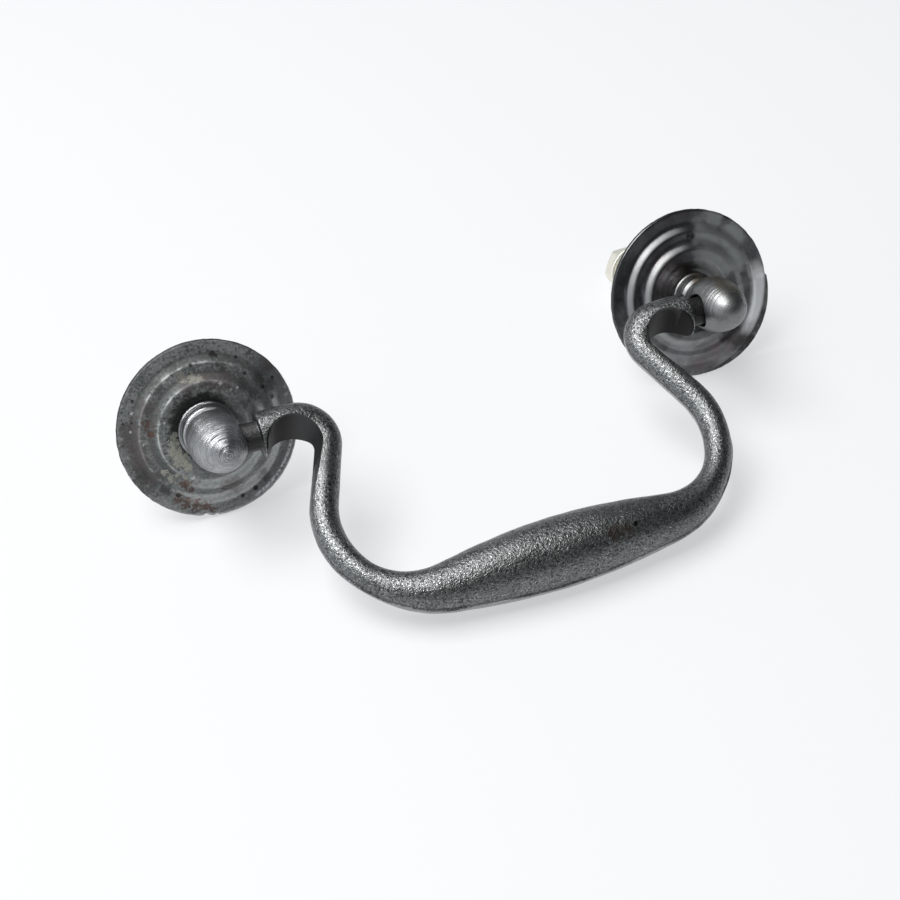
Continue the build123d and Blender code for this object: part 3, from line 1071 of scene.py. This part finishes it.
def left_rose_steel():
    """Mottled and rough, stripped of lacquer and painted lighter towards the lower right, with painted shade and
    highlights, rust, paint, chips and pits.
    """
    made = spun_steel("spun_rose_left", LEFT_ROSE["base"], LEFT_ROSE["tint"], 0.5, 1.0)
    material, tree, shader, place, parts, radius, plain, patchy, speckle = made
    front = facing_out(tree)
    broken = ragged(tree, place, 1.2, 0.55)
    mottled = ragged(tree, place, 0.5, 0.8)
    edges = {"broken": broken, "mottled": mottled, "soft": times(tree, broken, 0.2)}
    # Lighter towards the lower right: lacquer rubbed off, and a painted reflection of the bright floor.
    lower_right = minus(tree, parts["X"], parts["Y"])
    bare_and_lit = level(tree, plus(tree, lower_right, times(tree, broken, 6.0)), -4.0, 9.0)
    colour = blend(tree, times(tree, bare_and_lit, 0.5), plain, LEFT_ROSE["bare_and_lit"])
    # The slopes of the steps are darkened: painted shade, less where the lacquer is rubbed off.
    steps = larger(tree, band(tree, radius, 9.5, 0.9), band(tree, radius, 12.4, 0.9))
    steps = times(tree, steps, minus(tree, 1.0, bare_and_lit), 0.7)
    colour = blend(tree, steps, colour, LEFT_ROSE["step"])
    # A bright line on the rim at the lower right: a painted highlight.
    right_rim = times(tree, band(tree, radius, 14.35, 0.35), level(tree, parts["X"], 4.0, 7.0))
    right_rim = times(tree, right_rim, level(tree, parts["Y"], 0.0, -3.0))
    right_rim = times(tree, right_rim, level(tree, speckle, 0.38, 0.5))
    colour = blend(tree, right_rim, colour, LEFT_ROSE["rim"])
    colour = scratched(tree, place, colour)
    colour, _ = stained_and_shaded(tree, place, colour, LEFT_STAINS_AND_SHADE, edges)
    colour = blend(tree, front, plain, colour)
    paint = stains(tree, place, LEFT_PAINT, ragged(tree, place, 0.8, 0.5), 1.0, 0.85)
    paint = times(tree, paint, front)
    flaking = times(tree, paint, level(tree, speckle, 0.35, 0.6))
    colour = blend(tree, paint, colour, LEFT_ROSE["paint"])
    colour = blend(tree, flaking, colour, LEFT_ROSE["flake"])
    tree.links.new(minus(tree, 1.0, paint), shader.inputs["Metallic"])
    rough = level(tree, minus(tree, bare_and_lit, times(tree, patchy, 0.4)), -0.3, 0.9, 0.75, 0.3)
    set_finish(tree, shader, colour, larger(tree, rough, times(tree, paint, 0.8)))
    height = plus(tree, times(tree, patchy, 0.5), times(tree, speckle, 0.5))
    relief(tree, shader, plus(tree, height, times(tree, paint, 1.6)), 0.11)
    return material


def right_rose_steel():
    """Smooth and shiny, with dull and purple patches, painted highlights along each ridge, a lower right flange
    stripped and painted bright, and painted shade.
    """
    shiny = 0.28
    made = spun_steel("spun_rose_right", RIGHT_ROSE["base"], RIGHT_ROSE["tint"], shiny, 0.15)
    material, tree, shader, place, parts, radius, plain, patchy, _ = made
    broken = ragged(tree, place, 2.2, 0.5)
    edges = {"broken": broken, "soft": times(tree, broken, 0.5)}
    colour, masks = stained_and_shaded(tree, place, plain, RIGHT_STAINS_AND_SHADE, edges)
    # Bright bands along each ridge on the left side: painted highlights.
    ridge_highlights = larger(tree, band(tree, radius, 8.85, 0.7), band(tree, radius, 11.85, 0.7))
    ridge_highlights = times(tree, ridge_highlights, level(tree, parts["X"], 2.5, -4.0))
    ridge_highlights = times(tree, ridge_highlights, level(tree, parts["Y"], -11.0, -7.0))
    colour = blend(tree, times(tree, ridge_highlights, 0.55), colour, RIGHT_ROSE["ridge"])
    # A bright crescent on the right flange: lacquer rubbed off, and a painted highlight.
    flange = times(tree, level(tree, radius, 11.9, 12.7), level(tree, radius, 15.2, 14.4), 0.9)
    bare_and_lit = stains(tree, place, RIGHT_BARE_AND_LIT, times(tree, broken, 0.2), 1.15, 0.5)
    bare_and_lit = times(tree, bare_and_lit, flange)
    colour = blend(tree, bare_and_lit, colour, RIGHT_ROSE["bare_and_lit"])
    colour = blend(tree, facing_out(tree), plain, colour)
    rough = larger(tree, larger(tree, masks["dull"], bare_and_lit), ridge_highlights)
    set_finish(tree, shader, colour, level(tree, rough, 0.0, 0.7, shiny, 0.5))
    relief(tree, shader, patchy, 0.03)
    return material


def zinc():
    """Pale, slightly yellow plating."""
    material, tree, shader, place = start_material("zinc_fixing", 0.45)
    broad = cloud(tree, place, 2.0, 4.0, 0.6)
    colour = blend(tree, broad, (0.72, 0.7, 0.62), (0.9, 0.88, 0.8))
    tree.links.new(colour, shader.inputs["Base Color"])
    relief(tree, shader, cloud(tree, place, 0.25, 3.0), 0.02)
    return material


# Assembly.


def finish_piece(obj, body, slot, material, *nodes):
    obj.data.materials.clear()
    obj.data.materials.append(material)
    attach(obj, body)
    if nodes:
        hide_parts(*nodes)


def build_object():
    finish_piece(make_bail(), "bail", "cast_bail", cast_iron(), "bail")
    steels = {"left": left_post_steel(), "right": right_post_steel()}
    spun = {"left": left_rose_steel(), "right": right_rose_steel()}
    plating = zinc()
    for name, side in SIDES.items():
        post = make_post(name, side)
        finish_piece(post, "mounting", "turned_post", steels[name], name + "_post")
        shank = make_shank(name, side)
        finish_piece(shank, "mounting", "turned_post", plating, name + "_post")
        rose = make_rose(name, side)
        finish_piece(rose, "mounting", "spun_rose", spun[name], name + "_rose")
        washer = make_washer(name, side)
        finish_piece(washer, "mounting", "zinc_fixing", plating, name + "_washer")
        nut = make_nut(name, side)
        finish_piece(nut, "mounting", "zinc_fixing", plating, name + "_nut")


# The stage: a white surface, soft light and the camera.

CAMERA_AZIMUTH = 19.2
CAMERA_ELEVATION = 40.4
CAMERA_ROLL = 3.6
CAMERA_LENS = 72.0
CAMERA_DISTANCE = 300.0
CAMERA_AIM = Vector((-7.7, -5.04, -10.22))  # from the middle of the pin axis

# The floor and the softbox are in metres and watts.
FLOOR_HALF = 3.0
FLOOR_GREY = (0.25, 0.254, 0.258, 1)
FLOOR_GLOW = (0.975, 0.99, 1.0, 1)
FLOOR_GLOW_STRENGTH = 0.55
SOFTBOX_PLACE = Vector((-0.33, 0.06, 0.8))
SOFTBOX_SIZE = (0.8, 0.55)
SOFTBOX_POWER = 13.0
SKY = (0.9, 0.95, 1.0, 1)


def make_floor():
    """A pale sheet that glows a little, so that it comes out nearly white."""
    ends = ((-1, -1), (1, -1), (1, 1), (-1, 1))
    corners = [(x * FLOOR_HALF, y * FLOOR_HALF, 0) for x, y in ends]
    mesh = bpy.data.meshes.new("floor")
    mesh.from_pydata(corners, [], [(0, 1, 2, 3)])
    floor = bpy.data.objects.new("floor", mesh)
    bpy.context.scene.collection.objects.link(floor)
    material = bpy.data.materials.new("floor")
    material.use_nodes = True
    shader = material.node_tree.nodes["Principled BSDF"]
    shader.inputs["Base Color"].default_value = FLOOR_GREY
    shader.inputs["Roughness"].default_value = 0.7
    shader.inputs["Emission Color"].default_value = FLOOR_GLOW
    shader.inputs["Emission Strength"].default_value = FLOOR_GLOW_STRENGTH
    mesh.materials.append(material)
    floor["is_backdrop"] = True


def make_softbox():
    """One large soft light overhead and to the left, aimed at the origin."""
    data = bpy.data.lights.new("ceiling_softbox", "AREA")
    data.shape = "RECTANGLE"
    data.size, data.size_y = SOFTBOX_SIZE
    data.energy = SOFTBOX_POWER
    light = bpy.data.objects.new("ceiling_softbox", data)
    light.location = SOFTBOX_PLACE
    light.rotation_euler = (-SOFTBOX_PLACE).to_track_quat("-Z", "Y").to_euler()
    bpy.context.scene.collection.objects.link(light)


def make_world():
    """Grey at the horizon and dim overhead, brighter behind and on the left."""
    world = bpy.data.worlds.new("studio")
    world.use_nodes = True
    tree = world.node_tree
    background = tree.nodes["Background"]
    direction = add(tree, "ShaderNodeTexCoord").outputs["Generated"]
    parts = split(tree, direction)
    shade = level(tree, parts["Z"], 0.0, 0.35, 0.24, 0.07)
    left = level(tree, parts["X"], -0.55, -0.95, 0.0, 1.2)
    behind = level(tree, parts["Y"], 0.2, 0.9, 0.0, 0.3)
    shade = plus(tree, shade, larger(tree, left, behind))
    background.inputs["Color"].default_value = SKY
    tree.links.new(shade, background.inputs["Strength"])
    bpy.context.scene.world = world


def make_camera():
    azimuth = math.radians(CAMERA_AZIMUTH)
    elevation = math.radians(CAMERA_ELEVATION)
    look = Vector((math.sin(azimuth), math.cos(azimuth), -math.tan(elevation))).normalized()
    aim = (PIN + CAMERA_AIM) * MM
    right = look.cross(Vector((0, 0, 1))).normalized()
    up = right.cross(look)
    roll = math.radians(CAMERA_ROLL)
    rolled_up = up * math.cos(roll) + right * math.sin(roll)
    rolled_right = look.cross(rolled_up)
    turn = Matrix((rolled_right, rolled_up, -look)).transposed().to_4x4()
    data = bpy.data.cameras.new("camera")
    data.lens = CAMERA_LENS
    data.sensor_width = 36.0
    data.clip_start = 0.01
    data.clip_end = 20.0
    camera = bpy.data.objects.new("camera", data)
    camera.matrix_world = Matrix.Translation(aim - look * CAMERA_DISTANCE * MM) @ turn
    bpy.context.scene.collection.objects.link(camera)
    bpy.context.scene.camera = camera


def build_stage():
    make_floor()
    make_softbox()
    make_world()
    make_camera()
    bpy.context.scene.view_settings.view_transform = "Standard"


build_object()
build_stage()

boxes = {"cad": cad_bounds, "visual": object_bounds()}
{name: [list(corner) for corner in box] for name, box in boxes.items()}
